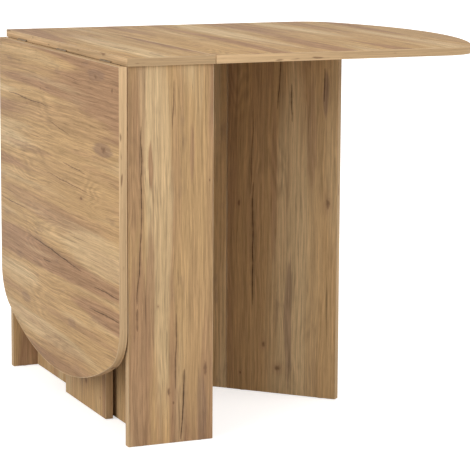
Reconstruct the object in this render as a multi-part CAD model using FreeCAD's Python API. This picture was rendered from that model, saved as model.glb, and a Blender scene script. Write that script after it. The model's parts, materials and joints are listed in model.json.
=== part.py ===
"""Drop leaf table: a narrow fixed centre, two hinged leaves, and a folding gate under each leaf.

Millimetres and degrees. +Z is up, Y runs along the fixed centre, and the origin is on the floor
under the middle of the centre. The right leaf (+X) is raised on its open gate, and the left leaf
hangs over its folded gate. The two gates are the same part, turned half a turn about the origin.
"""
import FreeCAD
import Part
import math
import os

Vector = FreeCAD.Vector

# Overall sizes
table_height = 750.0
table_depth = 750.0
centre_width = 180.0
leaf_floor_clearance = 74.5
leaf_corner_radius = 90.0
leaf_end_radius = 727.0

# Board and edge band
board = 16.0
band = 1.0
leaf_gap = 1.0

# End panels, spine and packing boards
panel_side_setback = 2.5
panel_end_setback = 4.0
spine_thickness = 16.0
packing_thickness = 23.0
narrow_packing_width = 82.25

# Folding gates
gate_inner_reach = 364.0
gate_outer_reach = 248.0
gate_open_angle = 43.7
gate_fold_gap = 9.0
gate_top_clearance = 4.0
root_edge_gap = 0.75
seam_edge_gap = 0.5
pocket_gap = 1.5

# Leaf hinges
leaf_hinge_length = 60.0
leaf_hinge_inset = 115.0
leaf_knuckle_radius = 2.5
leaf_flap_reach = 24.0
leaf_flap_thickness = 1.2
knuckle_notch_clearance = 0.5

# Gate hinges
gate_hinge_length = 70.0
gate_hinge_inset = 150.0
gate_knuckle_clearance = 0.3
gate_flap_reach = 30.0
gate_flap_thickness = 1.5

# What both kinds of hinge share
pin_radius = 1.2
pin_clearance = 0.05
knuckle_gap = 0.3
flap_edge_clearance = 0.4

# Hinge screws
screw_radius = 1.5
screw_depth = 12.0
hole_clearance = 0.02

# Long screws that hold the packing boards to the spine
long_screw_radius = 2.0
long_screw_head = 2.2
long_screw_length = 34.0
long_screw_low = 80.0
long_screw_inset = 54.0
long_screw_lift = 60.0
long_screw_stagger = 25.0
long_screw_edge = 28.0

# Cam fittings
cam_radius = 7.5
cam_depth = 12.5
cam_clearance = 0.05
cam_slot_width = 1.6
cam_slot_length = 9.0
cam_slot_depth = 2.0
cam_setback = 34.0
cam_low = 180.0
cam_inset = 174.0
top_cam_offset = 55.0
cam_bolt_radius = 3.0
cam_bolt_bite = 10.0
cam_bolt_gap = 0.2

# Dowels
dowel_radius = 4.0
dowel_in_face = 11.0
dowel_in_edge = 19.0
top_dowel_offset = 25.0
packing_dowel_setback = 55.0
packing_dowel_low = 60.0
spine_dowel_low = 100.0
upper_dowel_inset = 94.0

# Floor glides and the pad that carries a leaf
glide_height = 1.0
glide_radius = 7.0
glide_nail_radius = 1.0
glide_nail_length = 12.0
panel_glide_offset = 60.0
spine_glide_inset = 105.0
gate_glide_offset = 35.0
pad_radius = 6.0
pad_offset = 18.0
pad_clearance = 0.3

# Faces and axes worked out from the sizes above
half_depth = table_depth / 2
half_centre = centre_width / 2
underside = table_height - board
panel_outer = half_depth - panel_end_setback
panel_inner = panel_outer - board
panel_middle = (panel_outer + panel_inner) / 2
half_panel = half_centre - panel_side_setback
spine_face = spine_thickness / 2
packing_face = spine_face + packing_thickness
packing_middle = spine_face + packing_thickness / 2
leaf_edge = half_centre + leaf_gap
leaf_axis_x = half_centre + leaf_gap / 2
leaf_reach = underside - leaf_gap / 2 - leaf_floor_clearance
gate_axis_x = packing_face + gate_fold_gap / 2
gate_root = panel_inner - narrow_packing_width - root_edge_gap
gate_seam = gate_root - gate_inner_reach
gate_end = gate_seam + gate_outer_reach
gate_top = underside - gate_top_clearance
gate_knuckle_radius = gate_fold_gap / 2 - gate_knuckle_clearance
outer_panel_near = packing_face + gate_fold_gap
outer_panel_middle = outer_panel_near + board / 2
inner_panel_middle = packing_face - board / 2
pocket_front = gate_seam - pocket_gap
pocket_rear = gate_root + root_edge_gap

# Heights and spacings worked out from the sizes above
leaf_hinge_spacing = half_depth - leaf_hinge_inset
gate_hinge_heights = (gate_hinge_inset, gate_top / 2, gate_top - gate_hinge_inset)
cam_heights = (cam_low, underside - cam_inset)
long_screw_middle = sum(cam_heights) / 2 + long_screw_lift
long_screw_heights = (long_screw_low, long_screw_middle, underside - long_screw_inset)
upper_dowel = underside - upper_dowel_inset
packing_dowel_heights = (packing_dowel_low, upper_dowel)
spine_dowel_heights = (spine_dowel_low, (spine_dowel_low + upper_dowel) / 2, upper_dowel)
spine_glide_spacing = panel_inner - spine_glide_inset


def box(x, y, z):
    """A box from three pairs of limits."""
    size = (x[1] - x[0], y[1] - y[0], z[1] - z[0])
    return Part.makeBox(*size, Vector(x[0], y[0], z[0]))


def rod(radius, start, end):
    """A round bar between two points."""
    along = Vector(*end) - Vector(*start)
    return Part.makeCylinder(radius, along.Length, Vector(*start), along)


def turned(shape, centre, axis, angle):
    """A copy of the shape, turned about an axis through centre."""
    copy = shape.copy()
    copy.rotate(Vector(*centre), Vector(*axis), angle)
    return copy


def half_turn(shape):
    """The same piece on the other side of the table, half a turn about the middle."""
    return turned(shape, (0, 0, 0), (0, 0, 1), 180)


def mirrored(shape):
    """The piece's mirror image on the other side of the table."""
    return shape.mirror(Vector(0, 0, 0), Vector(1, 0, 0))


def save(name, *shapes):
    """Writes one node, a single solid or a group of separate solids."""
    solids = [solid for shape in shapes for solid in shape.Solids]
    shape = solids[0] if len(solids) == 1 else Part.makeCompound(solids)
    shape.exportStep("parts/" + name + ".step")


def placed(shape, origin, flap_way, board_way):
    """Moves a hinge piece from its own frame: X is the flap's way, Y points into the board, Z is the pin."""
    across, into = Vector(*flap_way), Vector(*board_way)
    pin = across.cross(into)
    matrix = FreeCAD.Matrix(
        across.x, into.x, pin.x, origin[0],
        across.y, into.y, pin.y, origin[1],
        across.z, into.z, pin.z, origin[2],
        0, 0, 0, 1,
    )
    return shape.transformed(matrix)


class HingeKind:
    """The sizes of one kind of butt hinge. face is how far the board's face stands from the pin."""

    def __init__(self, length, knuckle_radius, reach, thickness, face):
        self.length = length
        self.knuckle_radius = knuckle_radius
        self.reach = reach
        self.thickness = thickness
        self.face = face
        self.screw_x = (knuckle_radius + flap_edge_clearance + reach) / 2
        self.screw_z = (-length / 3, 0.0, length / 3)

    def knuckles(self, middle):
        """The stretches of the pin that a flap's own knuckles cover."""
        third, half, gap = self.length / 6, self.length / 2, knuckle_gap / 2
        if middle:
            return [(gap - third, third - gap)]
        return [(-half, -third - gap), (third + gap, half)]

    def flap(self, middle):
        """A flap with its knuckles, bored for the pin and countersunk for the screws."""
        plate = (self.face - self.thickness, self.face)
        edge = self.knuckle_radius + flap_edge_clearance
        shape = box((edge, self.reach), plate, (-self.length / 2, self.length / 2))
        for low, high in self.knuckles(middle):
            barrel = rod(self.knuckle_radius, (0, 0, low), (0, 0, high))
            shape = shape.fuse([barrel, box((0, edge), plate, (low, high))])
        end = self.length
        cuts = [rod(pin_radius + pin_clearance, (0, 0, -end), (0, 0, end))]
        cuts += [self.screw(z, hole_clearance) for z in self.screw_z]
        return shape.cut(cuts).removeSplitter()

    def pin(self):
        return rod(pin_radius, (0, 0, -self.length / 2), (0, 0, self.length / 2))

    def screw(self, z, clearance=0.0):
        """A countersunk screw, or the hole that it fits."""
        shank = screw_radius + clearance
        head = screw_radius + self.thickness + clearance
        top = self.face - self.thickness
        cone = Part.makeCone(head, shank, self.thickness, Vector(self.screw_x, top, z), Vector(0, 1, 0))
        tip = self.face + screw_depth + clearance
        return cone.fuse(rod(shank, (self.screw_x, self.face, z), (self.screw_x, tip, z)))

    def screws(self, clearance=0.0):
        return [self.screw(z, clearance) for z in self.screw_z]


leaf_hinge = HingeKind(leaf_hinge_length, leaf_knuckle_radius, leaf_flap_reach, leaf_flap_thickness, 0.0)
gate_hinge = HingeKind(
    gate_hinge_length, gate_knuckle_radius, gate_flap_reach, gate_flap_thickness, gate_fold_gap / 2
)
leaf_hinge_spots = [(leaf_axis_x, i * leaf_hinge_spacing, underside) for i in (-1, 0, 1)]
root_hinge_spots = [(gate_axis_x, gate_root, z) for z in gate_hinge_heights]
seam_hinge_spots = [(gate_axis_x, gate_seam, z) for z in gate_hinge_heights]

# Each side of a hinge: its kind, where it sits, the way its flap runs and the way into its board
top_side = (leaf_hinge, leaf_hinge_spots, (-1, 0, 0), (0, 0, 1))
leaf_side = (leaf_hinge, leaf_hinge_spots, (1, 0, 0), (0, 0, 1))
packing_side = (gate_hinge, root_hinge_spots, (0, 1, 0), (-1, 0, 0))
inner_root_side = (gate_hinge, root_hinge_spots, (0, -1, 0), (-1, 0, 0))
inner_seam_side = (gate_hinge, seam_hinge_spots, (0, 1, 0), (-1, 0, 0))
outer_seam_side = (gate_hinge, seam_hinge_spots, (0, 1, 0), (1, 0, 0))


def flaps(side, middle):
    kind, spots, flap_way, board_way = side
    return [placed(kind.flap(middle), spot, flap_way, board_way) for spot in spots]


def pins(side):
    kind, spots, flap_way, board_way = side
    return [placed(kind.pin(), spot, flap_way, board_way) for spot in spots]


def screws(side, clearance=0.0):
    kind, spots, flap_way, board_way = side
    return [placed(s, spot, flap_way, board_way) for spot in spots for s in kind.screws(clearance)]


def knuckle_notches():
    """The room that the leaf hinges' knuckles need in the two boards that meet over them."""
    radius = leaf_knuckle_radius + knuckle_notch_clearance
    half = leaf_hinge_length / 2 + knuckle_notch_clearance
    return [rod(radius, (x, y - half, z), (x, y + half, z)) for x, y, z in leaf_hinge_spots]


def both_sides(shapes):
    """The shapes, and their mirror images on the left."""
    return list(shapes) + [mirrored(shape) for shape in shapes]


def glide(x, y, clearance=0.0):
    """A nail-on glide under a board's lower edge, or the hole for its nail."""
    nail = rod(glide_nail_radius + clearance, (x, y, 0), (x, y, glide_height + glide_nail_length + clearance))
    if clearance:
        return nail
    return rod(glide_radius, (x, y, 0), (x, y, glide_height)).fuse(nail).removeSplitter()


def cam(centre, way, clearance=0.0):
    """A cam housing let into a face, its cross slot outwards. way points out of the board."""
    out = Vector(*way)
    middle = Vector(*centre)
    body = Part.makeCylinder(cam_radius - clearance, cam_depth, middle - out * cam_depth, out)
    if not clearance:
        return body
    bars = []
    for size in ((cam_slot_length, cam_slot_width), (cam_slot_width, cam_slot_length)):
        bar = Part.makeBox(size[0], size[1], cam_slot_depth * 2)
        bar.translate(Vector(-size[0] / 2, -size[1] / 2, -cam_slot_depth))
        bar.Placement = FreeCAD.Placement(middle, FreeCAD.Rotation(Vector(0, 0, 1), out)) * bar.Placement
        bars.append(bar)
    return body.cut(bars)


def top_cam_places():
    """Cams in the end panels that pull the centre top down: centre, and the way out of the panel."""
    z = underside - cam_setback
    return [
        ((x, side * panel_inner, z), (0, -side, 0))
        for side in (-1, 1)
        for x in (-top_cam_offset, top_cam_offset)
    ]


def packing_cam_places():
    """Cams in the packing boards that pull the end panels in."""
    return [
        ((side * packing_face, end * (panel_inner - cam_setback), z), (side, 0, 0))
        for side in (-1, 1)
        for end in (-1, 1)
        for z in cam_heights
    ]


def cam_bolts(clearance=0.0):
    """The bolts that the cams draw on, from the face of one board into the edge of the next."""
    radius = cam_bolt_radius + clearance
    start = cam_setback - cam_radius - cam_bolt_gap
    bolts = []
    bite = cam_bolt_bite + clearance
    for (x, y, _), _ in top_cam_places():
        middle = math.copysign(panel_middle, y)
        bolts.append(rod(radius, (x, middle, underside - start), (x, middle, underside + bite)))
    for (_, y, z), (side, _, _) in packing_cam_places():
        x = side * packing_middle
        end = math.copysign(1, y)
        bolts.append(rod(radius, (x, end * (panel_inner - start), z), (x, end * (panel_inner + bite), z)))
    return bolts


def dowels(clearance=0.0):
    """Wooden dowels between the edges of the upright boards and the faces that they meet."""
    radius = dowel_radius + clearance
    low = underside - dowel_in_edge - clearance
    high = underside + dowel_in_face + clearance
    near = panel_inner - dowel_in_edge - clearance
    far = panel_inner + dowel_in_face + clearance
    upright = [(side * top_dowel_offset, panel_middle) for side in (-1, 1)]
    upright += [(side * packing_middle, panel_inner - packing_dowel_setback) for side in (-1, 1)]
    level = [(side * packing_middle, z) for side in (-1, 1) for z in packing_dowel_heights]
    level += [(0.0, z) for z in spine_dowel_heights]
    pegs = []
    for end in (-1, 1):
        pegs += [rod(radius, (x, end * y, low), (x, end * y, high)) for x, y in upright]
        pegs += [rod(radius, (x, end * near, z), (x, end * far, z)) for x, z in level]
    return pegs


def long_screw(side, y, z, clearance=0.0):
    """A countersunk screw through a packing board into the spine."""
    radius = long_screw_radius + clearance
    head = radius + long_screw_head
    start = Vector(side * packing_face, y, z)
    cone = Part.makeCone(head, radius, long_screw_head, start, Vector(-side, 0, 0))
    neck = side * (packing_face - long_screw_head)
    tip = side * (packing_face - long_screw_length - clearance)
    return cone.fuse(rod(radius, (neck, y, z), (tip, y, z)))


def long_screws(clearance=0.0):
    """Rows of screws by the end panels and the pockets, higher on the left so that none meet."""
    end_row = panel_inner - long_screw_edge
    pocket_row = pocket_front - long_screw_edge
    made = []
    for side, lift in ((1, 0.0), (-1, long_screw_stagger)):
        for z in long_screw_heights:
            rows = (-end_row, end_row, side * pocket_row)
            made += [long_screw(side, y, z + lift, clearance) for y in rows]
    return made


def centre_top():
    cuts = both_sides(knuckle_notches() + screws(top_side, hole_clearance))
    cuts += cam_bolts(hole_clearance) + dowels(hole_clearance)
    x, y = half_centre - band, half_depth - band
    return box((-x, x), (-y, y), (underside, table_height)).cut(cuts)


def centre_top_side_band():
    strip = box((half_centre - band, half_centre), (-half_depth, half_depth), (underside, table_height))
    return strip.cut(knuckle_notches())


def centre_top_end_band():
    x = half_centre - band
    return box((-x, x), (half_depth - band, half_depth), (underside, table_height))


def end_panel():
    """The rear end panel, with the seats of everything that is let into it."""
    x = half_panel - band
    panel = box((-x, x), (panel_inner, panel_outer), (glide_height, underside))
    cuts = [cam(*place) for place in top_cam_places()]
    cuts += cam_bolts(hole_clearance) + dowels(hole_clearance)
    cuts += [glide(side * panel_glide_offset, panel_middle, hole_clearance) for side in (-1, 1)]
    return panel.cut(cuts)


def end_panel_bands():
    strip = box((half_panel - band, half_panel), (panel_inner, panel_outer), (glide_height, underside))
    return both_sides([strip])


def spine_glide_spots():
    return [(0.0, i * spine_glide_spacing) for i in (-1, 0, 1)]


def spine_board():
    core = box((-spine_face, spine_face), (-panel_inner, panel_inner), (glide_height, underside))
    cuts = dowels(hole_clearance) + long_screws(hole_clearance)
    cuts += [glide(x, y, hole_clearance) for x, y in spine_glide_spots()]
    return core.cut(cuts)


def packing_board(side, y):
    """A packing board on one side of the spine. y is where a board on the right lies along Y."""
    blank = box((spine_face, packing_face), y, (glide_height, underside))
    hinge_holes = screws(packing_side, hole_clearance)
    if side < 0:
        blank = half_turn(blank)
        hinge_holes = [half_turn(hole) for hole in hinge_holes]
    cuts = [cam(*place) for place in packing_cam_places()]
    cuts += cam_bolts(hole_clearance) + dowels(hole_clearance)
    cuts += hinge_holes + long_screws(hole_clearance)
    return blank.cut(cuts)


def leaf_outline(inset):
    """The leaf's face: square at the hinge, rounded corners, and a wide arc at its end."""
    half = half_depth - inset
    end_centre = leaf_reach - leaf_end_radius
    across = half_depth - leaf_corner_radius
    along = math.sqrt((leaf_end_radius - leaf_corner_radius) ** 2 - across**2)
    corner_x = end_centre + along
    meet = math.atan2(across, along)

    def on_corner(angle, side):
        radius = leaf_corner_radius - inset
        return Vector(corner_x + radius * math.cos(angle), side * (across + radius * math.sin(angle)), 0)

    tip = Vector(leaf_reach - inset, 0, 0)
    halfway = (meet + math.pi / 2) / 2
    edges = [
        Part.makeLine(Vector(inset, half, 0), Vector(inset, -half, 0)),
        Part.makeLine(Vector(inset, -half, 0), on_corner(math.pi / 2, -1)),
        Part.Arc(on_corner(math.pi / 2, -1), on_corner(halfway, -1), on_corner(meet, -1)).toShape(),
        Part.Arc(on_corner(meet, -1), tip, on_corner(meet, 1)).toShape(),
        Part.Arc(on_corner(meet, 1), on_corner(halfway, 1), on_corner(math.pi / 2, 1)).toShape(),
        Part.makeLine(on_corner(math.pi / 2, 1), Vector(inset, half, 0)),
    ]
    return Part.Face(Part.Wire(edges))


def leaf_solid(inset):
    solid = leaf_outline(inset).extrude(Vector(0, 0, board))
    solid.translate(Vector(leaf_edge, 0, underside))
    return solid


def leaf_pieces():
    """The raised right leaf's pieces, by name."""
    core = leaf_solid(band)
    y = half_depth - band
    strip = box((leaf_edge, leaf_edge + band), (-y, y), (underside, table_height))
    rim = leaf_solid(0).cut([core, strip])
    return {
        "leaf_board": [core.cut(knuckle_notches() + screws(leaf_side, hole_clearance))],
        "leaf_edge_band": [rim],
        "leaf_hinge_edge_band": [strip.cut(knuckle_notches())],
        "leaf_hinge_flaps": flaps(leaf_side, True),
        "leaf_hinge_screws": screws(leaf_side),
    }


def gate_panel(x, y):
    """A gate board with its two upright edge bands."""
    z = (glide_height, gate_top)
    core = box(x, (y[0] + band, y[1] - band), z)
    bands = [box(x, (y[0], y[0] + band), z), box(x, (y[1] - band, y[1]), z)]
    return core, bands


def gate_inner_pieces():
    """The inner half of the folded right gate, by name."""
    near, far = gate_seam + seam_edge_gap, gate_root - root_edge_gap
    core, bands = gate_panel((packing_face - board, packing_face), (near, far))
    spots = [(inner_panel_middle, y) for y in (near + gate_glide_offset, far - gate_glide_offset)]
    cuts = screws(inner_root_side, hole_clearance) + screws(inner_seam_side, hole_clearance)
    cuts += [glide(x, y, hole_clearance) for x, y in spots]
    return {
        "gate_inner_panel": [core.cut(cuts)],
        "gate_inner_bands": [strip.cut(cuts) for strip in bands],
        "gate_inner_hinge_flaps": flaps(inner_root_side, True) + flaps(inner_seam_side, False),
        "gate_seam_pins": pins(inner_seam_side),
        "gate_inner_screws": screws(inner_root_side) + screws(inner_seam_side),
        "gate_inner_glides": [glide(x, y) for x, y in spots],
    }


def gate_outer_pieces():
    """The outer half of the folded right gate, by name."""
    near, far = gate_seam + seam_edge_gap, gate_end
    core, bands = gate_panel((outer_panel_near, outer_panel_near + board), (near, far))
    spots = [(outer_panel_middle, y) for y in (near + gate_glide_offset, far - gate_glide_offset)]
    cuts = screws(outer_seam_side, hole_clearance)
    cuts += [glide(x, y, hole_clearance) for x, y in spots]
    pad_foot = Vector(outer_panel_middle, far - pad_offset, gate_top)
    pad = Part.makeCylinder(pad_radius, gate_top_clearance - pad_clearance, pad_foot)
    return {
        "gate_outer_panel": [core.cut(cuts)],
        "gate_outer_bands": [strip.cut(cuts) for strip in bands],
        "gate_outer_hinge_flaps": flaps(outer_seam_side, True),
        "gate_outer_screws": screws(outer_seam_side),
        "gate_outer_glides": [glide(x, y) for x, y in spots],
        "gate_leaf_pad": [pad],
    }


def opened_inner(shape):
    return turned(shape, (gate_axis_x, gate_root, 0), (0, 0, 1), gate_open_angle)


def opened_outer(shape):
    return opened_inner(turned(shape, (gate_axis_x, gate_seam, 0), (0, 0, 1), 180))


def hanging(shape):
    """The left leaf's piece: the right one's mirror image, let down about its hinge pins."""
    return turned(mirrored(shape), (-leaf_axis_x, 0, underside), (0, 1, 0), -90)


def save_pieces(side, pieces, move):
    for name, shapes in pieces.items():
        save(side + "_" + name, *[move(shape) for shape in shapes])


def save_top():
    save("centre_top", centre_top())
    save("centre_top_side_bands", *both_sides([centre_top_side_band()]))
    save("centre_top_end_bands", centre_top_end_band(), half_turn(centre_top_end_band()))


def save_end_panels():
    save("rear_end_panel", end_panel())
    save("front_end_panel", half_turn(end_panel()))
    save("rear_end_panel_bands", *end_panel_bands())
    save("front_end_panel_bands", *[half_turn(strip) for strip in end_panel_bands()])


def save_spine():
    wide = (-panel_inner, pocket_front)
    narrow = (pocket_rear, panel_inner)
    save("spine_board", spine_board())
    save("front_right_packing_board", packing_board(1, wide))
    save("rear_right_packing_board", packing_board(1, narrow))
    save("rear_left_packing_board", packing_board(-1, wide))
    save("front_left_packing_board", packing_board(-1, narrow))


def save_fittings():
    cams = [cam(*place, cam_clearance) for place in top_cam_places() + packing_cam_places()]
    feet = [glide(x, y) for x, y in spine_glide_spots()]
    feet += [glide(x * panel_glide_offset, y * panel_middle) for x in (-1, 1) for y in (-1, 1)]
    save("cam_housings", *cams)
    save("cam_bolts", *cam_bolts())
    save("wooden_dowels", *dowels())
    save("packing_board_screws", *long_screws())
    save("base_glides", *feet)


def save_fixed_hinges():
    """The flaps, pins and screws of the leaf and gate hinges that stay with the base."""
    top_flaps, root_flaps = flaps(top_side, False), flaps(packing_side, False)
    save("right_top_hinge_flaps", *top_flaps)
    save("left_top_hinge_flaps", *[mirrored(flap) for flap in top_flaps])
    save("leaf_hinge_pins", *both_sides(pins(top_side)))
    save("top_hinge_screws", *both_sides(screws(top_side)))
    root_pins, root_screws = pins(packing_side), screws(packing_side)
    save("right_gate_root_flaps", *root_flaps)
    save("left_gate_root_flaps", *[half_turn(flap) for flap in root_flaps])
    save("gate_root_pins", *root_pins, *[half_turn(pin) for pin in root_pins])
    save("gate_root_screws", *root_screws, *[half_turn(screw) for screw in root_screws])


def main():
    os.makedirs("parts", exist_ok=True)
    save_top()
    save_end_panels()
    save_spine()
    save_fittings()
    save_fixed_hinges()
    save_pieces("right", leaf_pieces(), lambda shape: shape)
    save_pieces("left", leaf_pieces(), hanging)
    save_pieces("right", gate_inner_pieces(), opened_inner)
    save_pieces("right", gate_outer_pieces(), opened_outer)
    save_pieces("left", gate_inner_pieces(), half_turn)
    save_pieces("left", gate_outer_pieces(), half_turn)


main()
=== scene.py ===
"""Drop leaf table: oak board with eased edges, metal, plastic and felt fittings, and a plain studio."""
import json
import math

import bmesh
import bpy
from bpy.props import FloatProperty, FloatVectorProperty, PointerProperty
from mathutils import Euler, Matrix, Vector

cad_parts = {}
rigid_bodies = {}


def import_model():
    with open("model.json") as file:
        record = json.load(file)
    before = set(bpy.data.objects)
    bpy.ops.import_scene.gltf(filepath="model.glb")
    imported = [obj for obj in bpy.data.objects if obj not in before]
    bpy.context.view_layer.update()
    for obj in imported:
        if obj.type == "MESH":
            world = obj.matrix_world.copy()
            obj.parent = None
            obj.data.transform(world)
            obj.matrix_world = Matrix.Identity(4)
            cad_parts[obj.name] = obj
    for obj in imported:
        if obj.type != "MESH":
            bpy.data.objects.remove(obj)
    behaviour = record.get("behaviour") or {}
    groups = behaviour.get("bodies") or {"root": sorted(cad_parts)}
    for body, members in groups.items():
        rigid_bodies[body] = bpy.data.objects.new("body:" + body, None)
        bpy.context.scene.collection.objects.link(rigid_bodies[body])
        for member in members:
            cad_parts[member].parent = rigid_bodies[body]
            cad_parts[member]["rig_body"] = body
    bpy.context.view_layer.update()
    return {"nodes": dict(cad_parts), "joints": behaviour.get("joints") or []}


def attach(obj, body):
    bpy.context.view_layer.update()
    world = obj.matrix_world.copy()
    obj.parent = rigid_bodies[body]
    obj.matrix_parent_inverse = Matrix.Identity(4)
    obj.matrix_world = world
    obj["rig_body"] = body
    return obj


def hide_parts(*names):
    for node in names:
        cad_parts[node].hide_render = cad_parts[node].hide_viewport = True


bl_info = {
    "name": "Drop leaf table",
    "version": (1, 0, 0),
    "blender": (4, 5, 0),
    "location": "View3D > Sidebar > Table",
    "description": "Builds the looks of a drop leaf table around its packed frame",
    "category": "Object",
}

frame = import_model()
joints = {joint["name"]: joint for joint in frame["joints"]}

MM = 0.001
QUARTER = math.pi / 2

# Noise lies about its middle, mostly between its troughs and its crests
MIDDLE = 0.5
TROUGH = 0.3
CREST = 0.7

# The colour mix node's inputs are its factor and its two colours
COLOUR_MIX_INPUTS = (0, 6, 7)
COLOUR_MIX_RESULT = 2

# How deep the bump is on each kind of piece
BOARD_RELIEF = 0.10 * MM
BAND_RELIEF = 0.08 * MM
CORE_RELIEF = 0.30 * MM
DOWEL_RELIEF = 0.15 * MM
FELT_RELIEF = 0.50 * MM
METAL_RELIEF = 0.03 * MM
CAST_RELIEF = 0.06 * MM
PLASTIC_RELIEF = 0.05 * MM

MERGE_DISTANCE = 0.001 * MM
FLAT_WITHIN = math.radians(0.5)
SHARP_FROM = math.radians(60)
SMOOTH_UNDER = math.radians(40)


# ---------------------------------------------------------------------------------------------
# How the grain lies on each board. A turn brings across, along and through the board to X, Y and Z.
# ---------------------------------------------------------------------------------------------

gate_open_angle = math.radians(joints["right_gate_root_hinge"]["range_deg"][1])
FLAT = Euler((0, 0, 0))
HANGING = Euler((0, QUARTER, 0))
UPRIGHT_ACROSS = Euler((-QUARTER, 0, 0))
UPRIGHT_ALONG = Euler((-QUARTER, -QUARTER, 0))
UPRIGHT_OPEN = Euler((-QUARTER, QUARTER - gate_open_angle, 0))

# A band's grain runs along its length, so its across direction is the board's thickness
THICK_Z = Euler((0, QUARTER, 0))
THICK_X = Euler((0, 0, 0))
THICK_Y = Euler((0, 0, QUARTER))
THICK_OPEN = Euler((0, 0, -gate_open_angle))


def node_corners(name):
    return [v.co for v in frame["nodes"][name].data.vertices]


def lie_of(turn, *names):
    """The corner of the boards' box, in the grain's own directions, and the box's size."""
    points = [turn.to_matrix() @ co for name in names for co in node_corners(name)]
    low = Vector(min(p[i] for p in points) for i in range(3))
    high = Vector(max(p[i] for p in points) for i in range(3))
    return low, high - low


# ---------------------------------------------------------------------------------------------
# Sizes and colours that a user would change
# ---------------------------------------------------------------------------------------------

def colour(name, description, default):
    return FloatVectorProperty(
        name=name, description=description, default=default, subtype="COLOR", min=0, max=1
    )


class TableEdges(bpy.types.PropertyGroup):
    board_arris: FloatProperty(
        name="Board arris", description="Width taken off the sharp edges of the board faces",
        default=0.12 * MM, unit="LENGTH", subtype="DISTANCE",
    )
    band_arris: FloatProperty(
        name="Band arris", description="Width scraped off the sharp edges of the edge bands",
        default=0.35 * MM, unit="LENGTH", subtype="DISTANCE",
    )
    shortest: FloatProperty(
        name="Shortest edge", description="Edges shorter than this, such as hole rims, stay sharp",
        default=5 * MM, unit="LENGTH", subtype="DISTANCE",
    )


class TableOak(bpy.types.PropertyGroup):
    gold: colour("Gold", "The oak's usual tone", (0.508, 0.323, 0.156))
    pale: colour("Pale", "The lightest planks", (0.610, 0.432, 0.238))
    rose: colour("Rose", "The pinkish brown planks", (0.385, 0.226, 0.124))
    mauve: colour("Mauve", "Greyish smudges", (0.265, 0.165, 0.110))
    dark: colour("Dark", "Knots and the margins of cracks", (0.200, 0.112, 0.062))
    crack: colour("Crack", "The depth of a crack", (0.050, 0.027, 0.016))
    band: colour("Band", "The edge band's usual tone", (0.595, 0.402, 0.222))
    # The lighter arris tone is partly rubbed wear and partly a painted highlight along the band edges
    wear_and_highlight: colour("Wear and highlight", "The rubbed arrises of the edge bands", (0.80, 0.66, 0.47))
    chip: colour("Chip", "The particle core's chips", (0.520, 0.380, 0.235))


class TableFittings(bpy.types.PropertyGroup):
    hinge: colour("Hinge steel", "Bronze plated hinge flaps and pins", (0.300, 0.205, 0.115))
    screw: colour("Screw steel", "Yellow passivated screws", (0.66, 0.58, 0.42))
    cam: colour("Cam zinc", "Die cast cam housings", (0.55, 0.55, 0.56))
    dowel: colour("Dowel wood", "Beech dowels", (0.62, 0.44, 0.28))
    glide: colour("Glide plastic", "White moulded glides", (0.72, 0.71, 0.68))
    felt: colour("Felt", "The pads that carry the leaves", (0.16, 0.11, 0.075))


class TableStage(bpy.types.PropertyGroup):
    camera_place: FloatVectorProperty(
        name="Camera place", description="Where the camera stands",
        default=(-1.4952, -4.1321, 1.1123), unit="LENGTH", subtype="XYZ",
    )
    heading: FloatProperty(
        name="Heading", description="How far the camera looks to the right of +Y",
        default=math.radians(23.4), unit="ROTATION", subtype="ANGLE",
    )
    tilt: FloatProperty(
        name="Tilt", description="How far the camera looks down",
        default=math.radians(8.655), unit="ROTATION", subtype="ANGLE",
    )
    roll: FloatProperty(
        name="Roll", description="How far the camera is turned about its own axis",
        default=math.radians(0.303), unit="ROTATION", subtype="ANGLE",
    )
    lens: FloatProperty(name="Lens", description="Focal length in millimetres", default=164.9)
    shift: FloatProperty(name="Shift", description="The lens's upward shift", default=-0.0957)
    floor_size: FloatProperty(
        name="Floor size", description="Width of the floor", default=80.0, unit="LENGTH"
    )
    floor: colour("Floor", "The floor's colour", (0.80, 0.795, 0.785))
    lift: FloatProperty(name="Lift", description="How far the floor is lifted to white", default=0.58)
    sky: FloatProperty(name="Sky", description="Brightness of the white surroundings", default=0.58)
    left: FloatProperty(
        name="Left light", description="Strength of the soft light on the left", default=1.48
    )
    right: FloatProperty(
        name="Right light", description="Strength of the soft light on the right", default=1.10
    )
    left_heading: FloatProperty(
        name="Left heading", description="How far the left light is turned from the front",
        default=math.radians(-80), unit="ROTATION", subtype="ANGLE",
    )
    right_heading: FloatProperty(
        name="Right heading", description="How far the right light is turned from the front",
        default=math.radians(42), unit="ROTATION", subtype="ANGLE",
    )
    light_lean: FloatProperty(
        name="Light lean", description="How far both lights lean from straight overhead",
        default=math.radians(53), unit="ROTATION", subtype="ANGLE",
    )
    light_spread: FloatProperty(
        name="Light spread", description="How wide and so how soft both lights are",
        default=math.radians(55), unit="ROTATION", subtype="ANGLE",
    )


# ---------------------------------------------------------------------------------------------
# Node helpers
# ---------------------------------------------------------------------------------------------

def feed(tree, socket, value):
    """Links another node's output to the socket, or sets the value on it."""
    if isinstance(value, bpy.types.NodeSocket):
        tree.links.new(value, socket)
    else:
        socket.default_value = value


def add(tree, kind, links=None, **settings):
    """Adds a node. links gives its inputs, each a value or another node's output."""
    made = tree.nodes.new(kind)
    for key, value in settings.items():
        setattr(made, key, value)
    for key, value in (links or {}).items():
        feed(tree, made.inputs[key], value)
    return made


def maths(tree, operation, *values):
    """The result of a math node, whose inputs are values or other nodes' outputs."""
    made = add(tree, "ShaderNodeMath", dict(enumerate(values)), operation=operation)
    return made.outputs[0]


def span(tree, value, start, end, low=0.0, high=1.0):
    """The value's way from start to end, smoothed, as a number from low to high."""
    links = {"Value": value, "From Min": start, "From Max": end, "To Min": low, "To Max": high}
    return add(tree, "ShaderNodeMapRange", links, interpolation_type="SMOOTHSTEP").outputs[0]


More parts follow.
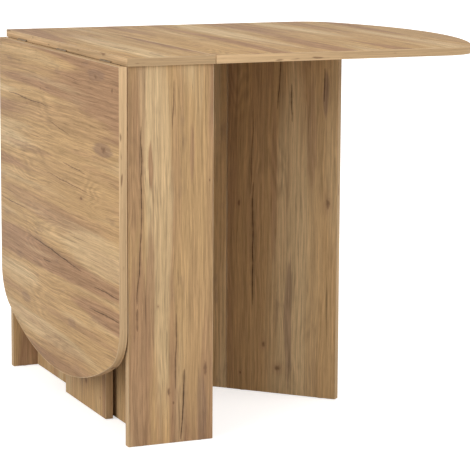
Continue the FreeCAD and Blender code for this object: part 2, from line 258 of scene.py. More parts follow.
def mottle(tree, *patterns):
    """One brightness from noises, each given with the value of its troughs and of its crests."""
    value = 1.0
    for pattern, trough, crest in patterns:
        value = maths(tree, "MULTIPLY", value, span(tree, pattern, TROUGH, CREST, trough, crest))
    return value


def noise(tree, place, stretch, detail=2.0, roughness=0.5):
    """Noise with so many cells a metre across, along and through."""
    scaled = add(tree, "ShaderNodeVectorMath", {0: place, 1: stretch}, operation="MULTIPLY")
    links = {"Vector": scaled.outputs[0], "Scale": 1.0, "Detail": detail, "Roughness": roughness}
    return add(tree, "ShaderNodeTexNoise", links).outputs["Fac"]


def blend(tree, factor, first, second, kind="MIX"):
    """The second colour over the first, by the factor."""
    made = add(tree, "ShaderNodeMix", data_type="RGBA", blend_type=kind)
    for socket, value in zip(COLOUR_MIX_INPUTS, (factor, first, second)):
        feed(tree, made.inputs[socket], value)
    return made.outputs[COLOUR_MIX_RESULT]


def shade(tree, tint, value):
    """The tint, made lighter or darker by the value."""
    grey = add(tree, "ShaderNodeCombineColor", {0: value, 1: value, 2: value})
    return blend(tree, 1.0, tint, grey.outputs[0], "MULTIPLY")


def opaque(tint):
    return (*tint, 1.0)


SOCKETS = {"vector": "NodeSocketVector", "float": "NodeSocketFloat", "colour": "NodeSocketColor"}


def shader_group(name, inputs, outputs):
    """An empty node group with its named inputs and outputs: the tree, and the two end nodes."""
    tree = bpy.data.node_groups.new(name, "ShaderNodeTree")
    for key, kind in inputs.items():
        tree.interface.new_socket(key, in_out="INPUT", socket_type=SOCKETS[kind])
    for key, kind in outputs.items():
        tree.interface.new_socket(key, in_out="OUTPUT", socket_type=SOCKETS[kind])
    return tree, tree.nodes.new("NodeGroupInput"), tree.nodes.new("NodeGroupOutput")


def use_group(tree, name, links):
    made = tree.nodes.new("ShaderNodeGroup")
    made.node_tree = bpy.data.node_groups[name]
    for key, value in links.items():
        feed(tree, made.inputs[key], value)
    return made


def moved(tree, place, by, operation):
    """The place with a vector added to it or taken from it."""
    return add(tree, "ShaderNodeVectorMath", {0: place, 1: by}, operation=operation).outputs[0]


def distance_from(tree, x, y):
    """How far a point at x and y is from the middle."""
    squares = maths(tree, "ADD", maths(tree, "MULTIPLY", x, x), maths(tree, "MULTIPLY", y, y))
    return maths(tree, "SQRT", squares)


def put_out(tree, wanted, results):
    for key, socket in results.items():
        tree.links.new(socket, wanted.inputs[key])


# ---------------------------------------------------------------------------------------------
# Node groups shared by the materials
# ---------------------------------------------------------------------------------------------

def build_oak_figure():
    """Planks, streaks, rings, pores, smudges and checks, with X across the grain and Y along it."""
    inputs = {"Vector": "vector", "Seed": "vector"}
    inputs.update({key: "colour" for key in ("Gold", "Pale", "Rose", "Mauve")})
    outputs = {"Colour": "colour", "Value": "colour", "Roughness": "float", "Height": "float"}
    tree, given, wanted = shader_group("oak_figure", inputs, outputs)
    g = given.outputs
    place = moved(tree, g["Vector"], g["Seed"], "ADD")
    parts = add(tree, "ShaderNodeSeparateXYZ", {0: place}).outputs
    wander = maths(tree, "SUBTRACT", noise(tree, place, (6, 1.4, 2)), MIDDLE)
    ripple = maths(tree, "SUBTRACT", noise(tree, place, (55, 9, 9), 3), MIDDLE)
    across = maths(tree, "MULTIPLY_ADD", wander, 30 * MM, parts[0])
    across = maths(tree, "MULTIPLY_ADD", ripple, 6 * MM, across)
    grain = add(tree, "ShaderNodeCombineXYZ", {0: across, 1: parts[1], 2: parts[2]}).outputs[0]

    tone = noise(tree, grain, (13, 0.75, 3), 1.2)
    tint = blend(tree, span(tree, tone, 0.40, 0.47), g["Rose"], g["Gold"])
    tint = blend(tree, span(tree, tone, 0.545, 0.61), tint, g["Pale"])
    drift = noise(tree, grain, (34, 1.6, 3), 2)
    tint = blend(tree, span(tree, drift, 0.50, 0.72, 0.0, 0.55), tint, g["Rose"])
    tint = blend(tree, span(tree, drift, 0.46, 0.30, 0.0, 0.40), tint, g["Pale"])

    contour = noise(tree, grain, (9, 1.3, 2), 2.6)
    rings = maths(tree, "SINE", maths(tree, "MULTIPLY", contour, 190.0))
    shown = span(tree, noise(tree, place, (9, 4, 2), 2), 0.46, 0.66, 0.0, 0.10)
    smudge = noise(tree, grain, (30, 9, 3), 4, 0.65)
    tint = blend(tree, span(tree, smudge, 0.56, 0.72, 0.0, 0.45), tint, g["Mauve"])
    streak = noise(tree, grain, (210, 3.0, 3), 4, 0.7)
    fine = noise(tree, grain, (640, 12, 3), 3, 0.7)
    dashes = span(tree, noise(tree, grain, (330, 11, 3), 2, 0.6), 0.58, 0.70)
    checks = span(tree, noise(tree, grain, (150, 3.4, 3), 2, 0.6), 0.69, 0.76)
    pores = span(tree, noise(tree, grain, (1500, 42, 3), 1), 0.62, 0.74)
    value = mottle(tree, (streak, 0.80, 1.16), (fine, 0.84, 1.14))
    value = maths(tree, "MULTIPLY", value, maths(tree, "MULTIPLY_ADD", rings, shown, 1.0))
    for marks, depth in ((dashes, -0.24), (checks, -0.42), (pores, -0.22)):
        value = maths(tree, "MULTIPLY", value, maths(tree, "MULTIPLY_ADD", marks, depth, 1.0))
    grey = add(tree, "ShaderNodeCombineColor", {0: value, 1: value, 2: value}).outputs[0]
    tint = blend(tree, 1.0, tint, grey, "MULTIPLY")

    rough = maths(tree, "MULTIPLY_ADD", pores, 0.12, span(tree, streak, TROUGH, CREST, 0.56, 0.46))
    height = maths(tree, "MULTIPLY_ADD", pores, -0.45, maths(tree, "MULTIPLY", fine, 0.30))
    height = maths(tree, "MULTIPLY_ADD", checks, -0.8, height)
    results = {"Colour": tint, "Value": grey, "Roughness": rough, "Height": height}
    put_out(tree, wanted, results)


def build_long_crack():
    """One crack along the grain: a dark line that tapers at both ends, in a soft darker margin."""
    inputs = {"Vector": "vector", "Start": "vector"}
    inputs.update({key: "float" for key in ("Length", "Width", "Lean")})
    tree, given, wanted = shader_group("long_crack", inputs, {"Line": "float", "Margin": "float"})
    g = given.outputs
    away = moved(tree, g["Vector"], g["Start"], "SUBTRACT")
    parts = add(tree, "ShaderNodeSeparateXYZ", {0: away}).outputs
    way = maths(tree, "DIVIDE", parts[1], g["Length"])
    shut = maths(tree, "MULTIPLY", maths(tree, "MULTIPLY", way, maths(tree, "SUBTRACT", 1.0, way)), 4.0)
    open_ = maths(tree, "SQRT", maths(tree, "MAXIMUM", shut, 0.0))
    bend = maths(tree, "SUBTRACT", noise(tree, g["Vector"], (3, 14, 3), 2), MIDDLE)
    line = maths(tree, "MULTIPLY_ADD", bend, 8 * MM, maths(tree, "MULTIPLY", parts[1], g["Lean"]))
    off = maths(tree, "ABSOLUTE", maths(tree, "SUBTRACT", parts[0], line))
    ragged = span(tree, noise(tree, g["Vector"], (5, 60, 5), 2), TROUGH, CREST, 0.60, 1.25)
    reach = maths(tree, "MULTIPLY", maths(tree, "MULTIPLY", open_, g["Width"]), ragged)
    depth = maths(tree, "DIVIDE", off, maths(tree, "ADD", reach, 0.01 * MM))
    margin = maths(tree, "DIVIDE", off, maths(tree, "MULTIPLY_ADD", reach, 6.0, 0.01 * MM))
    put_out(tree, wanted, {"Line": span(tree, depth, 1.0, 0.35), "Margin": span(tree, margin, 1.0, 0.0)})


def build_knot():
    """One knot: a dark ragged heart with a softer halo drawn out along the grain."""
    inputs = {"Vector": "vector", "Centre": "vector", "Across": "float", "Along": "float"}
    tree, given, wanted = shader_group("knot", inputs, {"Heart": "float", "Halo": "float"})
    g = given.outputs
    away = moved(tree, g["Vector"], g["Centre"], "SUBTRACT")
    parts = add(tree, "ShaderNodeSeparateXYZ", {0: away}).outputs
    x = maths(tree, "DIVIDE", parts[0], g["Across"])
    y = maths(tree, "DIVIDE", parts[1], g["Along"])
    ragged = maths(tree, "SUBTRACT", noise(tree, g["Vector"], (230, 110, 50), 3), MIDDLE)
    far = maths(tree, "MULTIPLY_ADD", ragged, 1.1, distance_from(tree, x, y))
    put_out(tree, wanted, {"Heart": span(tree, far, 0.95, 0.15), "Halo": span(tree, far, 2.6, 0.4)})


def build_stain():
    """A soft ragged patch of another tone, drawn out along the grain."""
    inputs = {"Vector": "vector", "Centre": "vector", "Across": "float", "Along": "float"}
    tree, given, wanted = shader_group("stain", inputs, {"Patch": "float"})
    g = given.outputs
    away = moved(tree, g["Vector"], g["Centre"], "SUBTRACT")
    parts = add(tree, "ShaderNodeSeparateXYZ", {0: away}).outputs
    sway = maths(tree, "SUBTRACT", noise(tree, g["Vector"], (7, 5, 2), 3), MIDDLE)
    x = maths(tree, "DIVIDE", maths(tree, "MULTIPLY_ADD", sway, 20 * MM, parts[0]), g["Across"])
    y = maths(tree, "DIVIDE", parts[1], g["Along"])
    ragged = maths(tree, "SUBTRACT", noise(tree, g["Vector"], (120, 5, 3), 4, 0.6), MIDDLE)
    far = maths(tree, "MULTIPLY_ADD", ragged, 0.9, distance_from(tree, x, y))
    put_out(tree, wanted, {"Patch": span(tree, far, 1.1, 0.65)})


def build_band_figure():
    """The edge band's close straight grain, X through the board's thickness, with lighter arrises that
    are partly wear and partly a painted highlight.
    """
    inputs = {"Vector": "vector", "Seed": "vector", "Half": "float"}
    inputs.update({key: "colour" for key in ("Band", "Dark", "Wear and highlight")})
    outputs = {"Colour": "colour", "Roughness": "float", "Height": "float"}
    tree, given, wanted = shader_group("band_figure", inputs, outputs)
    g = given.outputs
    place = moved(tree, g["Vector"], g["Seed"], "ADD")
    wander = maths(tree, "SUBTRACT", noise(tree, place, (20, 3, 3)), MIDDLE)
    parts = add(tree, "ShaderNodeSeparateXYZ", {0: place}).outputs
    across = maths(tree, "MULTIPLY_ADD", wander, 6 * MM, parts[0])
    grain = add(tree, "ShaderNodeCombineXYZ", {0: across, 1: parts[1], 2: parts[2]}).outputs[0]
    tone = noise(tree, grain, (60, 2.2, 2.2), 2)
    lines = noise(tree, grain, (420, 5, 5), 3, 0.6)
    fleck = span(tree, noise(tree, grain, (900, 30, 30), 1), 0.62, 0.76)
    eye = span(tree, noise(tree, grain, (110, 24, 24), 1), 0.66, 0.76)
    tint = shade(tree, g["Band"], mottle(tree, (tone, 0.82, 1.12), (lines, 0.80, 1.13)))
    tint = blend(tree, maths(tree, "MULTIPLY", fleck, 0.34), tint, g["Dark"])
    tint = blend(tree, maths(tree, "MULTIPLY", eye, 0.7), tint, g["Dark"])
    through = add(tree, "ShaderNodeSeparateXYZ", {0: g["Vector"]}).outputs[0]
    off = maths(tree, "ABSOLUTE", maths(tree, "SUBTRACT", through, g["Half"]))
    # Lighter towards both arrises, in patches: partly rubbed wear, partly a painted highlight where the
    # edges catch light
    wear_and_highlight = span(tree, maths(tree, "SUBTRACT", g["Half"], off), 0.9 * MM, 0.2 * MM)
    patchy = span(tree, noise(tree, place, (30, 14, 14), 3), 0.35, 0.65)
    wear_and_highlight = maths(tree, "MULTIPLY", wear_and_highlight, patchy)
    tint = blend(tree, maths(tree, "MULTIPLY", wear_and_highlight, 0.35), tint, g["Wear and highlight"])
    rough = maths(tree, "MULTIPLY_ADD", wear_and_highlight, -0.10, span(tree, lines, TROUGH, CREST, 0.58, 0.48))
    height = maths(tree, "MULTIPLY_ADD", fleck, -0.4, maths(tree, "MULTIPLY", lines, 0.35))
    put_out(tree, wanted, {"Colour": tint, "Roughness": rough, "Height": height})


def build_rubbed():
    """Handling marks for metal and plastic: cloudy tone, fine scratches and a matt or polished grain."""
    inputs = {"Vector": "vector", "Tint": "colour", "Gloss": "float", "Spread": "float"}
    outputs = {"Colour": "colour", "Roughness": "float", "Height": "float"}
    tree, given, wanted = shader_group("rubbed", inputs, outputs)
    g = given.outputs
    cloud = noise(tree, g["Vector"], (90, 90, 90), 3, 0.6)
    fine = noise(tree, g["Vector"], (2600, 2600, 700), 2)
    scratch = maths(tree, "SUBTRACT", noise(tree, g["Vector"], (420, 60, 300), 2), MIDDLE)
    scratch = span(tree, maths(tree, "ABSOLUTE", scratch), 0.012, 0.0)
    tint = shade(tree, g["Tint"], mottle(tree, (cloud, 0.86, 1.08), (fine, 0.95, 1.04)))
    swing = maths(tree, "MULTIPLY", maths(tree, "SUBTRACT", cloud, MIDDLE), g["Spread"])
    rough = maths(tree, "ADD", g["Gloss"], swing)
    rough = maths(tree, "MULTIPLY_ADD", scratch, 0.12, rough)
    height = maths(tree, "MULTIPLY_ADD", scratch, -0.7, maths(tree, "MULTIPLY", fine, 0.3))
    put_out(tree, wanted, {"Colour": tint, "Roughness": rough, "Height": height})


# ---------------------------------------------------------------------------------------------
# Materials
# ---------------------------------------------------------------------------------------------

def new_material(name, specular=0.08, metallic=0.0):
    """A material with its tree, its shader and the piece's own coordinates."""
    made = bpy.data.materials.new(name)
    made.use_nodes = True
    tree = made.node_tree
    shader = tree.nodes["Principled BSDF"]
    shader.inputs["Specular IOR Level"].default_value = specular
    shader.inputs["Metallic"].default_value = metallic
    return made, tree, shader, tree.nodes.new("ShaderNodeTexCoord").outputs["Object"]


def bump(tree, shader, height, depth):
    links = {"Strength": 1.0, "Distance": depth, "Height": height}
    tree.links.new(add(tree, "ShaderNodeBump", links).outputs[0], shader.inputs["Normal"])


def lay(tree, coordinates, turn, corner):
    """Coordinates in metres from the board's corner, across, along and through its grain."""
    links = {"Vector": coordinates, "Location": -corner, "Rotation": turn}
    return add(tree, "ShaderNodeMapping", links).outputs[0]


def finish_with(tree, shader, figure, depth):
    """Feeds a figure's colour, roughness and height to the shader."""
    tree.links.new(figure["Colour"], shader.inputs["Base Color"])
    tree.links.new(figure["Roughness"], shader.inputs["Roughness"])
    bump(tree, shader, figure["Height"], depth)


def spot(place, across, along, half_width, half_length):
    """What a knot or a stain is given: its middle and its reach, in millimetres from the corner."""
    return {
        "Vector": place, "Centre": (across * MM, along * MM, 0),
        "Across": half_width * MM, "Along": half_length * MM,
    }


def oak_face(name, turn, corner, seed, stains=(), cracks=(), knots=()):
    """Oak decor for one board. Stains are (tone, strength, across, along, half width, half length),
    cracks (across, along, length, width, lean) and knots (across, along, half width, half length),
    in millimetres from the board's corner."""
    oak = bpy.context.scene.table_oak
    made, tree, shader, coordinates = new_material(name)
    place = lay(tree, coordinates, turn, corner)
    planks = {key: opaque(getattr(oak, key.lower())) for key in ("Gold", "Pale", "Rose", "Mauve")}
    dark, deep = opaque(oak.dark), opaque(oak.crack)
    figure = use_group(tree, "oak_figure", {"Vector": place, "Seed": seed, **planks}).outputs
    tint, height = figure["Colour"], figure["Height"]
    for tone, strength, *reach in stains:
        patch = use_group(tree, "stain", spot(place, *reach)).outputs["Patch"]
        toned = blend(tree, 1.0, figure["Value"], planks[tone], "MULTIPLY")
        tint = blend(tree, maths(tree, "MULTIPLY", patch, strength), tint, toned)
    for reach in knots:
        knot = use_group(tree, "knot", spot(place, *reach)).outputs
        tint = blend(tree, maths(tree, "MULTIPLY", knot["Halo"], 0.38), tint, planks["Rose"])
        tint = blend(tree, maths(tree, "MULTIPLY", knot["Heart"], 0.85), tint, dark)
        height = maths(tree, "MULTIPLY_ADD", knot["Heart"], -0.6, height)
    for across, along, length, width, lean in cracks:
        links = {"Vector": place, "Start": (across * MM, along * MM, 0), "Length": length * MM}
        links.update({"Width": width * MM / 2, "Lean": lean})
        crack = use_group(tree, "long_crack", links).outputs
        tint = blend(tree, maths(tree, "MULTIPLY", crack["Margin"], 0.35), tint, dark)
        tint = blend(tree, maths(tree, "MULTIPLY", crack["Line"], 0.9), tint, deep)
        height = maths(tree, "MULTIPLY_ADD", crack["Line"], -1.2, height)
    result = {"Colour": tint, "Roughness": figure["Roughness"], "Height": height}
    finish_with(tree, shader, result, BOARD_RELIEF)
    return made


def edge_band(name, turn, corner, thickness, seed):
    """Oak print for the bands of one board."""
    oak = bpy.context.scene.table_oak
    made, tree, shader, coordinates = new_material(name)
    links = {"Vector": lay(tree, coordinates, turn, corner), "Seed": seed, "Half": thickness / 2}
    links.update({"Band": opaque(oak.band), "Dark": opaque(oak.dark), "Wear and highlight": opaque(oak.wear_and_highlight)})
    finish_with(tree, shader, use_group(tree, "band_figure", links).outputs, BAND_RELIEF)
    return made


def particle_core():
    """The raw particle core at a board's unbanded edges and in its holes."""
    made, tree, shader, coordinates = new_material("particle_core", specular=0.2)
    chips = add(tree, "ShaderNodeTexVoronoi", {"Vector": coordinates, "Scale": 620.0})
    value = maths(tree, "MULTIPLY_ADD", chips.outputs["Color"], 0.42, 0.74)
    dust = noise(tree, coordinates, (1900, 1900, 1900), 3)
    value = maths(tree, "MULTIPLY", value, mottle(tree, (dust, 0.88, 1.08)))
    tint = shade(tree, opaque(bpy.context.scene.table_oak.chip), value)
    tree.links.new(tint, shader.inputs["Base Color"])
    tree.links.new(mottle(tree, (dust, 0.95, 0.80)), shader.inputs["Roughness"])
    bump(tree, shader, maths(tree, "ADD", chips.outputs["Distance"], dust), CORE_RELIEF)
    return made


def rubbed_material(name, tint, gloss, spread, depth, specular=0.5, metallic=0.0):
    """Metal or plastic with handling marks."""
    made, tree, shader, coordinates = new_material(name, specular, metallic)
    links = {"Vector": coordinates, "Tint": opaque(tint), "Gloss": gloss, "Spread": spread}
    finish_with(tree, shader, use_group(tree, "rubbed", links).outputs, depth)
    return made


def dowel_beech():
    """Beech with short flecks and soft flutes."""
    made, tree, shader, coordinates = new_material("dowel_beech", specular=0.25)
    fleck = noise(tree, coordinates, (900, 260, 260), 3)
    flute = noise(tree, coordinates, (160, 160, 30), 2)
    value = mottle(tree, (fleck, 0.84, 1.08), (flute, 0.93, 1.05))
    tint = shade(tree, opaque(bpy.context.scene.table_fittings.dowel), value)
    tree.links.new(tint, shader.inputs["Base Color"])
    tree.links.new(mottle(tree, (fleck, 0.75, 0.62)), shader.inputs["Roughness"])
    bump(tree, shader, fleck, DOWEL_RELIEF)
    return made


def pad_felt():
    """Brown felt with a soft sheen."""
    made, tree, shader, coordinates = new_material("pad_felt", specular=0.1)
    shader.inputs["Sheen Weight"].default_value = 0.5
    hair = noise(tree, coordinates, (2400, 2400, 2400), 4, 0.7)
    cloud = noise(tree, coordinates, (260, 260, 260), 2)
    value = mottle(tree, (hair, 0.70, 1.25), (cloud, 0.85, 1.1))
    tint = shade(tree, opaque(bpy.context.scene.table_fittings.felt), value)
    tree.links.new(tint, shader.inputs["Base Color"])
    tree.links.new(mottle(tree, (hair, 1.0, 0.88)), shader.inputs["Roughness"])
    bump(tree, shader, hair, FELT_RELIEF)
    return made


def plain_materials():
    """The fittings' finishes, by the record's slot."""
    fittings = bpy.context.scene.table_fittings
    hinge = rubbed_material("hinge_steel", fittings.hinge, 0.38, 0.25, METAL_RELIEF, metallic=0.35)
    screw = rubbed_material("screw_steel", fittings.screw, 0.34, 0.30, METAL_RELIEF, metallic=1.0)
    cam = rubbed_material("cam_zinc", fittings.cam, 0.46, 0.30, CAST_RELIEF, metallic=1.0)
    glide = rubbed_material("glide_plastic", fittings.glide, 0.42, 0.25, PLASTIC_RELIEF)
    return {
        "hinge_steel": hinge, "screw_steel": screw, "cam_zinc": cam, "glide_plastic": glide,
        "dowel_wood": dowel_beech(), "pad_felt": pad_felt(),
    }


# ---------------------------------------------------------------------------------------------
# Meshes
# ---------------------------------------------------------------------------------------------

def eased_mesh(name, arris):
    """A merged copy of a CAD node, with the arrises of its long edges taken off."""
    edges_at = bpy.context.scene.table_edges
    work = bmesh.new()
    work.from_mesh(frame["nodes"][name].data)
    bmesh.ops.remove_doubles(work, verts=work.verts, dist=MERGE_DISTANCE)
    bmesh.ops.dissolve_limit(work, angle_limit=FLAT_WITHIN, verts=work.verts, edges=work.edges)
    sharp = [
        e for e in work.edges
        if len(e.link_faces) == 2
        and e.calc_face_angle(0.0) > SHARP_FROM
        and e.calc_length() > edges_at.shortest
    ]
    bmesh.ops.bevel(
        work, geom=sharp, offset=arris, offset_type="OFFSET", segments=2, profile=0.5,
        affect="EDGES", material=-1, clamp_overlap=False, loop_slide=True,
    )
    return work


def stand_for(node, piece, mesh, body, materials):
    """Makes the mesh a piece that stands for a CAD node and moves with its body."""
    data = bpy.data.meshes.new(piece)
    mesh.to_mesh(data)
    mesh.free()
    for material in materials:
        data.materials.append(material)
    made = bpy.data.objects.new(piece, data)
    bpy.context.scene.collection.objects.link(made)
    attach(made, body)
    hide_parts(node)
    return made


def smooth_over(work):
    """Smooth shading over the curves and bevels, sharp at the holes' rims."""
    for face in work.faces:
        face.smooth = True
    for edge in work.edges:
        edge.smooth = edge.calc_face_angle(math.pi) < SMOOTH_UNDER


def board_piece(node, turn, seed, **flaws):
    """One board: decor on its faces, and raw core where neither decor nor band covers it."""
    edges_at = bpy.context.scene.table_edges
    corner, size = lie_of(turn, node)
    work = eased_mesh(node, edges_at.board_arris)
    tolerance = edges_at.board_arris * 1.5
    matrix = turn.to_matrix()
    for face in work.faces:
        spot = matrix @ face.calc_center_median() - corner
        on_face = min(spot.z, size.z - spot.z) < tolerance
        on_side = min(spot.x, size.x - spot.x) < tolerance
        face.material_index = 0 if on_face or on_side else 1
    smooth_over(work)
    decor = oak_face("oak_" + node, turn, corner, seed, **flaws)
    body = frame["nodes"][node]["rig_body"]
    core = bpy.data.materials.get("particle_core") or particle_core()
    return stand_for(node, node + "_faced", work, body, [decor, core])


def band_piece(node, turn, seed):
    """Edge bands: the same board's strips, with scraped arrises."""
    edges_at = bpy.context.scene.table_edges
    corner, size = lie_of(turn, node)
    work = eased_mesh(node, edges_at.band_arris)
    smooth_over(work)
    material = edge_band("band_" + node, turn, corner, size.x, seed)
    body = frame["nodes"][node]["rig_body"]
    return stand_for(node, node + "_scraped", work, body, [material])


# ---------------------------------------------------------------------------------------------
# Operators
# ---------------------------------------------------------------------------------------------

class TABLE_OT_groups(bpy.types.Operator):
    """Builds the node groups that the materials share"""
    bl_idname = "table.groups"
    bl_label = "Node groups"

    def execute(self, context):
        build_oak_figure()
        build_long_crack()
        build_knot()
        build_stain()
        build_band_figure()
        build_rubbed()
        return {"FINISHED"}


class TABLE_OT_centre_top(bpy.types.Operator):
    """Faces and bands the fixed centre top"""
    bl_idname = "table.centre_top"
    bl_label = "Centre top"

    def execute(self, context):
        board_piece("centre_top", FLAT, (1.3, 4.1, 0), cracks=[(60, 120, 260, 1.2, 0.01)])
        band_piece("centre_top_side_bands", THICK_Z, (0.2, 3.0, 1.0))
        band_piece("centre_top_end_bands", THICK_Z, (0.5, 1.0, 2.0))
        return {"FINISHED"}


class TABLE_OT_leaves(bpy.types.Operator):
    """Faces and bands the raised leaf and the hanging leaf"""
    bl_idname = "table.leaves"
    bl_label = "Leaves"

    def execute(self, context):
        board_piece("right_leaf_board", FLAT, (2.9, 7.7, 0), knots=[(550, 205, 6, 10)])
        hanging_cracks = [
            (233, 215, 330, 2.8, 0.064), (216, -8, 150, 2.0, 0.0), (172, -8, 180, 2.2, -0.02),
            (306, 570, 180, 1.8, 0.02), (542, 415, 270, 1.8, 0.012), (217, 402, 54, 2.0, 0.0),
            (497, 285, 125, 1.1, 0.12), (395, 180, 255, 1.3, 0.035), (430, 190, 135, 1.3, 0.05),
        ]
        hanging_knots = [
            (611, 36, 7, 9), (492, 85, 10, 20), (379, 216, 5, 12), (574, 465, 3, 5),
            (533, 557, 3, 6), (628, 128, 5, 16),
        ]
        hanging_stains = [
            ("Rose", 0.62, 590, 110, 34, 170), ("Rose", 0.45, 45, 330, 30, 170),
            ("Gold", 0.7, 520, 330, 40, 330), ("Pale", 0.65, 280, 120, 45, 230),
            ("Gold", 0.7, 400, 300, 50, 330), ("Rose", 0.5, 330, 500, 18, 260),
            ("Mauve", 0.45, 113, 574, 12, 36), ("Mauve", 0.4, 115, 277, 10, 28),
            ("Mauve", 0.6, 632, 125, 12, 60), ("Mauve", 0.65, 492, 90, 16, 60),
            ("Rose", 0.5, 440, 560, 9, 190), ("Pale", 0.5, 160, 620, 30, 140),
        ]
        board_piece(
            "left_leaf_board", HANGING, (5.2, 1.9, 0),
            stains=hanging_stains, cracks=hanging_cracks, knots=hanging_knots,
        )
        for side, turn in (("right", THICK_Z), ("left", THICK_X)):
            band_piece(side + "_leaf_edge_band", turn, (0.9, 5.0, 2.0))
            band_piece(side + "_leaf_hinge_edge_band", turn, (1.4, 2.0, 6.0))
        return {"FINISHED"}


class TABLE_OT_end_panels(bpy.types.Operator):
    """Faces and bands the two end panels"""
    bl_idname = "table.end_panels"
    bl_label = "End panels"

    def execute(self, context):
        cracks = [
            (26, 395, 225, 2.6, 0.0), (16, 275, 140, 2.2, 0.075), (17, 225, 45, 2.2, 0.0),
            (96, 105, 150, 1.7, 0.01), (108, 4, 140, 3.6, 0.05), (89, 610, 95, 1.2, 0.03),
        ]
        knots = [(82, 101, 5, 12), (92, 79, 3, 5), (158, 142, 6, 20), (60, 271, 2, 3), (166, 510, 2, 4)]
        stains = [
            ("Gold", 0.8, 140, 380, 40, 420), ("Pale", 0.75, 68, 420, 22, 420),
            ("Rose", 0.85, 22, 140, 26, 260), ("Rose", 0.7, 44, 260, 10, 190),
            ("Rose", 0.6, 10, 560, 14, 200), ("Rose", 0.5, 158, 150, 9, 120),
            ("Rose", 0.7, 129, 566, 5, 60), ("Rose", 0.9, 46, 540, 6, 50),
            ("Mauve", 0.5, 150, 60, 12, 90),
        ]
        board_piece(
            "front_end_panel", UPRIGHT_ACROSS, (0.4, 2.2, 0), stains=stains, cracks=cracks, knots=knots,
        )
        board_piece("rear_end_panel", UPRIGHT_ACROSS, (3.6, 9.1, 0), cracks=[(120, 200, 240, 1.8, 0.02)])
        for end in ("front", "rear"):
            band_piece(end + "_end_panel_bands", THICK_Y, (0.3, 1.0, 4.0))
        return {"FINISHED"}


class TABLE_OT_spine(bpy.types.Operator):
    """Faces the spine and the four packing boards"""
    bl_idname = "table.spine"
    bl_label = "Spine and packing boards"

    def execute(self, context):
        boards = (
            "spine_board", "front_right_packing_board", "rear_right_packing_board",
            "front_left_packing_board", "rear_left_packing_board",
        )
        for i, node in enumerate(boards):
            board_piece(node, UPRIGHT_ALONG, (1.7 * i, 6.3 + 2.1 * i, 0))
        return {"FINISHED"}


class TABLE_OT_gates(bpy.types.Operator):
    """Faces and bands the panels of the two folding gates"""
    bl_idname = "table.gates"
    bl_label = "Gates"

    def execute(self, context):
        inner = {
            "cracks": [(250, 380, 220, 1.6, 0.02)], "knots": [(160, 300, 5, 9)],
            "stains": [("Gold", 0.6, 90, 300, 110, 500), ("Rose", 0.5, 235, 520, 30, 240)],
        }
        outer = {
            "cracks": [
                (58, 185, 265, 3.0, 0.0), (112, 605, 115, 2.4, 0.06), (144, 580, 80, 2.2, -0.02),
                (216, 625, 70, 2.2, 0.0), (52, 420, 180, 1.3, 0.03),
            ],
            "knots": [
                (31, 37, 3, 5), (116, 54, 9, 9), (84, 103, 5, 9), (26, 403, 4, 10),
                (226, 415, 6, 16),
            ],
            "stains": [
                ("Gold", 0.75, 60, 350, 60, 600), ("Gold", 0.55, 215, 350, 45, 600),
                ("Pale", 0.55, 165, 420, 20, 330), ("Rose", 0.35, 8, 560, 18, 260),
                ("Rose", 0.55, 104, 430, 8, 200), ("Mauve", 0.6, 140, 160, 10, 150),
                ("Rose", 0.5, 190, 560, 12, 130), ("Mauve", 0.7, 222, 640, 8, 50),
            ],
        }
        board_piece("right_gate_inner_panel", UPRIGHT_OPEN, (6.1, 3.3, 0), **inner)
        board_piece("right_gate_outer_panel", UPRIGHT_OPEN, (8.8, 5.9, 0), **outer)
        board_piece("left_gate_inner_panel", UPRIGHT_ALONG, (6.1, 3.3, 0), **inner)
        board_piece("left_gate_outer_panel", UPRIGHT_ALONG, (4.4, 8.2, 0), **outer)
        for half in ("inner", "outer"):
            band_piece("right_gate_" + half + "_bands", THICK_OPEN, (0.7, 2.0, 3.0))
            band_piece("left_gate_" + half + "_bands", THICK_X, (0.7, 2.0, 3.0))
        return {"FINISHED"}


class TABLE_OT_fittings(bpy.types.Operator):
    """Gives the hinges, screws, cams, dowels, glides and pads their finishes"""
    bl_idname = "table.fittings"
    bl_label = "Fittings"

    def execute(self, context):
        finishes = plain_materials()
        slots = {
            "_flaps": "hinge_steel", "_pins": "hinge_steel",
            "_screws": "screw_steel", "_bolts": "screw_steel", "_housings": "cam_zinc",
            "_dowels": "dowel_wood", "_glides": "glide_plastic", "_pad": "pad_felt",
        }
        for name, made in frame["nodes"].items():
            slot = next((slot for end, slot in slots.items() if name.endswith(end)), None)
            if slot:
                made.data.materials.clear()
                made.data.materials.append(finishes[slot])
        return {"FINISHED"}


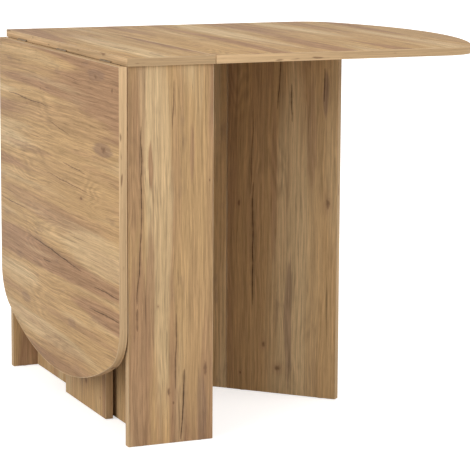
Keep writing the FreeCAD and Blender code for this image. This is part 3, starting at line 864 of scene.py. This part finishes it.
class TABLE_OT_stage(bpy.types.Operator):
    """Sets the pale floor, the soft light and the camera"""
    bl_idname = "table.stage"
    bl_label = "Stage"

    def execute(self, context):
        stage = context.scene.table_stage
        work = bmesh.new()
        bmesh.ops.create_grid(work, x_segments=1, y_segments=1, size=stage.floor_size / 2)
        data = bpy.data.meshes.new("floor")
        work.to_mesh(data)
        work.free()
        floor = bpy.data.objects.new("floor", data)
        context.scene.collection.objects.link(floor)
        made, tree, shader, _ = new_material("pale_floor", specular=0.1)
        shader.inputs["Base Color"].default_value = opaque(stage.floor)
        shader.inputs["Roughness"].default_value = 0.85
        shader.inputs["Emission Color"].default_value = (1.0, 1.0, 1.0, 1.0)
        seen = tree.nodes.new("ShaderNodeLightPath").outputs["Is Camera Ray"]
        tree.links.new(maths(tree, "MULTIPLY", seen, stage.lift), shader.inputs["Emission Strength"])
        data.materials.append(made)

        world = bpy.data.worlds.new("studio")
        world.use_nodes = True
        sky = world.node_tree.nodes["Background"]
        sky.inputs["Color"].default_value = (1.0, 1.0, 1.0, 1.0)
        sky.inputs["Strength"].default_value = stage.sky
        context.scene.world = world

        lights = (
            ("left_light", stage.left, stage.left_heading),
            ("right_light", stage.right, stage.right_heading),
        )
        for name, strength, heading in lights:
            light = bpy.data.lights.new(name, "SUN")
            light.energy = strength
            light.angle = stage.light_spread
            lamp = bpy.data.objects.new(name, light)
            lamp.rotation_euler = (stage.light_lean, 0, heading)
            context.scene.collection.objects.link(lamp)

        lens = bpy.data.cameras.new("camera")
        lens.sensor_width = 36.0
        lens.lens = stage.lens
        lens.shift_y = stage.shift
        lens.clip_end = 200.0
        camera = bpy.data.objects.new("camera", lens)
        aim = Euler((QUARTER - stage.tilt, 0, -stage.heading)).to_matrix()
        turn = aim @ Matrix.Rotation(stage.roll, 3, "Z")
        camera.matrix_world = Matrix.Translation(stage.camera_place) @ turn.to_4x4()
        context.scene.collection.objects.link(camera)
        context.scene.camera = camera
        context.scene.view_settings.view_transform = "Standard"
        return {"FINISHED"}


OPERATORS = (
    TABLE_OT_groups, TABLE_OT_centre_top, TABLE_OT_leaves, TABLE_OT_end_panels,
    TABLE_OT_spine, TABLE_OT_gates, TABLE_OT_fittings, TABLE_OT_stage,
)
SETTINGS = {
    "table_edges": TableEdges, "table_oak": TableOak,
    "table_fittings": TableFittings, "table_stage": TableStage,
}


class TABLE_PT_sidebar(bpy.types.Panel):
    """Lists the table's sizes, colours and pieces"""
    bl_idname = "TABLE_PT_sidebar"
    bl_label = "Drop leaf table"
    bl_space_type = "VIEW_3D"
    bl_region_type = "UI"
    bl_category = "Table"

    def draw(self, context):
        for key, settings in SETTINGS.items():
            box = self.layout.box()
            for name in settings.__annotations__:
                box.prop(getattr(context.scene, key), name)
        for operator in OPERATORS:
            self.layout.operator(operator.bl_idname)


def register():
    for settings in SETTINGS.values():
        bpy.utils.register_class(settings)
    for key, settings in SETTINGS.items():
        setattr(bpy.types.Scene, key, PointerProperty(type=settings))
    for made in (*OPERATORS, TABLE_PT_sidebar):
        bpy.utils.register_class(made)


def unregister():
    for made in (TABLE_PT_sidebar, *reversed(OPERATORS)):
        bpy.utils.unregister_class(made)
    for key, settings in reversed(SETTINGS.items()):
        delattr(bpy.types.Scene, key)
        bpy.utils.unregister_class(settings)


def main():
    register()
    bpy.ops.table.groups()
    bpy.ops.table.centre_top()
    bpy.ops.table.leaves()
    bpy.ops.table.end_panels()
    bpy.ops.table.spine()
    bpy.ops.table.gates()
    bpy.ops.table.fittings()
    bpy.ops.table.stage()


if __name__ == "__main__":
    main()
